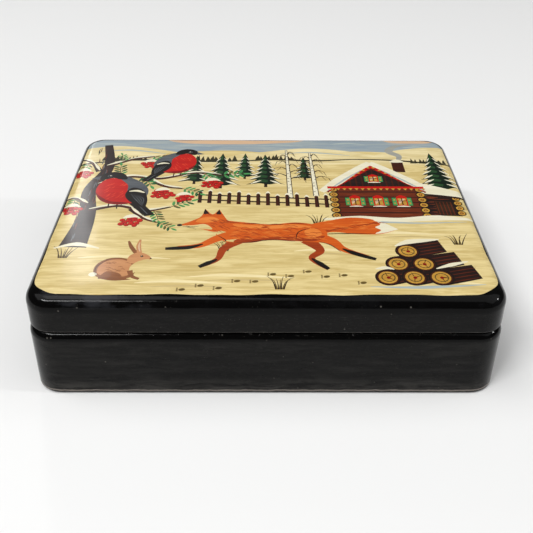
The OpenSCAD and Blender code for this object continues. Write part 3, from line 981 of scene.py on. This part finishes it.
def paint_log_pile(s, x, y):
    """Cut logs stacked with their ends to the viewer."""
    r = 4.1
    places = [(x + (i * 2 + row) * r * 1.02, y + row * r * 1.72) for row in range(3) for i in range(3 - row)]
    for place in places:
        with s.at(*place):
            s.line("brown_black", (2 * r, 2 * r * 0.96, 2 * r * 0.9), (0, 0), (6, 1.6), (12, 3.2))
            for low in (0, 1.7, 3.4, 5.1):
                s.line("chestnut", (0.1, 0.4, 0.1), (3, 2.9 - low), (8, 4.2 - low), (12, 5.2 - low))
    for place in places:
        with s.at(*place):
            for paint, x_off, size, count in (("line_black", 0, 1, 18), ("chestnut_dark", 0, 0.88, 18),
                                              ("gold", 0, 0.74, 16), ("olive", 0.1, 0.55, 14),
                                              ("gold", 0.1, 0.46, 12)):
                s.dot(paint, x_off, 0, r * size, count=count)
            s.dot("red_dark", 0.15, -0.1, r * 0.16, count=8)
            for _ in range(3):
                turn = s.draw.uniform(0, TURN)
                c, d = math.cos(turn), math.sin(turn)
                s.line("chestnut_dark", (0.3, 0.1), (0.7 * c, 0.7 * d), (2.6 * c, 2.6 * d))
    with s.at(x, y):
        s.line("snow_bright", (0.4, 2.6, 2, 0.4), (4.6, 17), (9, 19.4), (15, 20.4), (20, 21))
        s.line("snow_bright", (0.3, 1.7, 0.3), (-3.4, 4.4), (0, 5), (2.6, 4.2))
        s.line("snow_bright", (0.3, 1.9, 0.3), (16, 4.6), (21, 6.6), (27, 8.6))
        s.line("sky_light", (0.2, 1.4, 0.2), (-6, -4.6), (10, -4.9), (30, -3.4))


def paint_snow_marks(s):
    """Drifts, tracks and dry grass on the snow in front."""
    for x, y, wide in ((-46, -33, 30), (-8, -43, 34), (48, -19, 26), (20, -29, 22), (-26, -46, 30),
                       (58, -46, 20)):
        with s.at(x, y):
            s.line("snow_light", (0.2, 1.6, 1.2, 0.2), (-wide / 2, 0), (-wide / 6, 1), (wide / 5, 0.4),
                   (wide / 2, -0.4))
            s.line("snow_shade", (0.2, 0.9, 0.2), (-wide / 3, -1.8), (0, -1.3), (wide / 2.4, -1.9))
    for i in range(11):
        x = 30 - i * 5.6
        y = -45 + 3.6 * math.sin(i * 0.5) + (1.3 if i % 2 else -0.7)
        s.dot("olive", x, y, 1.05, 0.62, turn=10)
        for up in (-0.62, 0, 0.62):
            s.dot("olive", x - 1.5, y + up, 0.34, 0.26, count=7)
    for tuft in ((-66, -33), (-14, -29), (64, -25), (18, -13), (-51, -44), (4, -49)):
        for i in range(7):
            lean = (i - 3) * 0.75 + s.draw.uniform(-0.4, 0.4)
            with s.at(*tuft):
                s.line("olive" if i % 2 else "bark", (0.5, 0.1), ((i - 3) * 0.4, 0),
                       (lean, s.draw.uniform(2.6, 4.6)), (lean * 1.8, s.draw.uniform(4.6, 7)))


def draw_picture():
    s = Sketch()
    s.add("snow", ground_outline())
    paint_sky(s)
    paint_hills(s)
    paint_far_trees(s)
    for fir in ((-27, 15, 22), (-8, 19, 20), (-17, 12, 27), (66, 10, 30), (15, 18, 18), (0, 13, 25)):
        paint_fir(s, *fir)
    paint_birch(s, 9, 4, 38)
    paint_birch(s, 18.5, 6, 34)
    paint_fence(s, -24, 22, 1, -3)
    paint_cottage(s)
    paint_snow_marks(s)
    with s.at(1.4, -19.4, 1.02):
        paint_fox(s)
    paint_rowan(s)
    with s.at(-47, -38, 0.86):
        paint_hare(s)
    paint_log_pile(s, 38, -43)
    return s.shapes


# Paints: the colour on a screen, the second tone that brush strokes bring out, and how strongly they do
PAINTS = {
    "snow": ((203, 178, 112), (236, 216, 156), 1.0),
    "snow_far": ((214, 194, 136), (244, 228, 178), 1.0),
    "snow_light": ((243, 228, 178), (233, 211, 152), 0.7),
    "snow_shade": ((206, 184, 128), (190, 166, 110), 0.7),
    "snow_bright": ((240, 234, 208), (222, 212, 176), 0.6),
    "sky": ((140, 156, 168), (172, 180, 176), 0.9),
    "sky_light": ((178, 188, 182), (158, 172, 176), 0.8),
    "dawn": ((222, 184, 146), (206, 176, 150), 0.8),
    "smoke": ((150, 152, 146), (176, 174, 160), 0.9),
    "slate": ((96, 100, 104), (70, 74, 80), 0.8),
    "far_wood": ((62, 58, 36), (40, 38, 26), 0.9),
    "bark": ((58, 40, 26), (36, 24, 16), 0.9),
    "brown_black": ((48, 30, 26), (30, 19, 17), 0.9),
    "line_black": ((20, 17, 15), (32, 26, 22), 0.7),
    "chestnut_dark": ((72, 32, 20), (50, 24, 16), 0.8),
    "chestnut": ((112, 48, 26), (88, 36, 22), 0.8),
    "chestnut_light": ((140, 66, 36), (120, 52, 30), 0.8),
    "orange": ((214, 98, 30), (196, 80, 26), 0.8),
    "orange_light": ((232, 136, 62), (218, 112, 40), 0.9),
    "orange_dark": ((168, 66, 24), (140, 52, 22), 0.8),
    "red": ((200, 30, 20), (176, 20, 16), 0.8),
    "red_light": ((222, 68, 44), (206, 46, 30), 0.7),
    "red_dark": ((136, 16, 14), (112, 12, 12), 0.8),
    "green": ((66, 142, 82), (92, 160, 88), 0.9),
    "green_dark": ((30, 84, 52), (22, 62, 40), 0.9),
    "fir": ((44, 78, 44), (32, 60, 36), 0.9),
    "fir_dark": ((22, 38, 26), (16, 26, 18), 0.9),
    "olive": ((110, 90, 44), (84, 70, 36), 0.9),
    "gold": ((204, 156, 66), (176, 128, 50), 0.8),
    "tan": ((206, 148, 100), (184, 124, 80), 0.8),
    "tan_dark": ((146, 92, 56), (120, 74, 44), 0.8),
}
PAINT_GAIN = 0.84
VARNISH = {"Roughness": 0.45, "Specular_IOR_Level": 0.12, "Coat_Weight": 0.28, "Coat_Roughness": 0.13}


def paint_look(name, colour, second, strength):
    """Paint under wavy varnish, with brush strokes along the lid in a second tone."""
    look = Look("paint_" + name)
    broad = look.noise((0.05, 0.36, 0.3), detail=5, roughness=0.66, warp=0.5)
    bristles = look.noise((0.10, 2.6, 1.0), detail=3, roughness=0.6)
    share = look.plus(look.times(look.steps(broad, 0.38, 0.62), 0.62),
                      look.times(look.steps(bristles, 0.4, 0.62), 0.38))
    tones = [[c * PAINT_GAIN for c in linear(*tone)] for tone in (colour, second)]
    waves = look.bump(look.noise(0.045, detail=2), 0.12)
    look.set(Base_Color=look.mix(look.times(share, strength), *tones), Coat_Normal=waves,
             Normal=look.bump(bristles, 0.004, waves), **VARNISH)
    return look.material


# The skin of the picture: rings near its border and a grid within make it follow the lid
GRID_STEP = 3.0
RING_DEPTHS = (0.6, 1.2, 1.8, 2.5)
GRID_DEPTH = 3.6
NEAR = 1e-4


def sheet_points():
    points, edges = [], []
    for depth in RING_DEPTHS:
        start = len(points)
        points += [Vector(p) for p in ground_outline(depth)]
        count = len(points) - start
        edges += [(start + i, start + (i + 1) % count) for i in range(count)]
    columns, rows = int(2 * LID_HALF_X / GRID_STEP), int(2 * LID_HALF_Y / GRID_STEP)
    for i in range(columns):
        for j in range(rows):
            place = Vector((-LID_HALF_X + (i + 0.5) * GRID_STEP, -LID_HALF_Y + (j + 0.5) * GRID_STEP))
            if inset(*place) > LID_HALF_X - GROUND_RIGHT + GRID_DEPTH:
                points.append(place)
    return points, edges


def cut_sheet(shapes):
    """The shapes cut into triangles: points, (triangle, number of the shape on top) and the border in order.

    The first shape is the sheet's own outline.
    """
    points, edges = sheet_points()
    faces = []
    for _, outline in shapes:
        faces.append(list(range(len(points), len(points) + len(outline))))
        points += [Vector(p) for p in outline]
    flat, _, patches, _, _, owners = delaunay_2d_cdt(points, edges, faces, 0, NEAR, True)
    kept = [(tuple(patch), max(owner)) for patch, owner in zip(patches, owners) if 0 in owner]
    sides = {(a, b) for patch, _ in kept for a, b in zip(patch, patch[1:] + patch[:1])}
    after = {a: b for a, b in sides if (b, a) not in sides}
    border = [min(after)]
    while after[border[-1]] != border[0]:
        border.append(after[border[-1]])
    return flat, kept, border


def raised(flat, kept, lift):
    """The sheet's used points on the lid's surface, each point's new number, and the surface's normals."""
    used = sorted({v for patch, _ in kept for v in patch})
    places = [(flat[v].x * MM, flat[v].y * MM, (surface_z(*flat[v]) + lift) * MM) for v in used]
    return places, {v: i for i, v in enumerate(used)}, [surface_normal(*flat[v]) for v in used]


def same_place(point):
    return round(point.x, 3), round(point.y, 3)


def make_picture():
    """One closed skin over the lid, in which each patch between outlines takes the last paint laid on it."""
    shapes = draw_picture()
    flat, kept, border = cut_sheet(shapes)
    under, under_kept, _ = cut_sheet([("snow", [tuple(flat[v]) for v in border])])
    top, top_number, top_normals = raised(flat, kept, SKIN_ABOVE)
    low, low_number, low_normals = raised(under, under_kept, SKIN_BELOW)
    by_place = {same_place(under[v]): len(top) + i for v, i in low_number.items()}
    paints = list(PAINTS)
    faces = [tuple(top_number[v] for v in patch) for patch, _ in kept]
    slots = [paints.index(shapes[owner][0]) for _, owner in kept]
    faces += [tuple(len(top) + low_number[v] for v in reversed(patch)) for patch, _ in under_kept]
    for a, b in zip(border, border[1:] + border[:1]):
        below = [by_place[same_place(flat[v])] for v in (a, b)]
        faces.append((top_number[b], top_number[a], *below))
    slots += [0] * (len(faces) - len(slots))
    mesh = bpy.data.meshes.new("lid_picture")
    mesh.from_pydata(top + low, [], faces)
    for name, (colour, second, strength) in PAINTS.items():
        mesh.materials.append(paint_look(name, colour, second, strength))
    mesh.polygons.foreach_set("material_index", slots)
    mesh.normals_split_custom_set_from_vertices(top_normals + [-n for n in low_normals])
    mesh.update()
    picture = add_object("lid_picture", mesh)
    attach(picture, "lid")
    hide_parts("picture_ground")
    print("picture", len(shapes), "shapes", len(faces), "faces")


make_camera()
make_stage()
finish_cad_nodes()
make_picture()
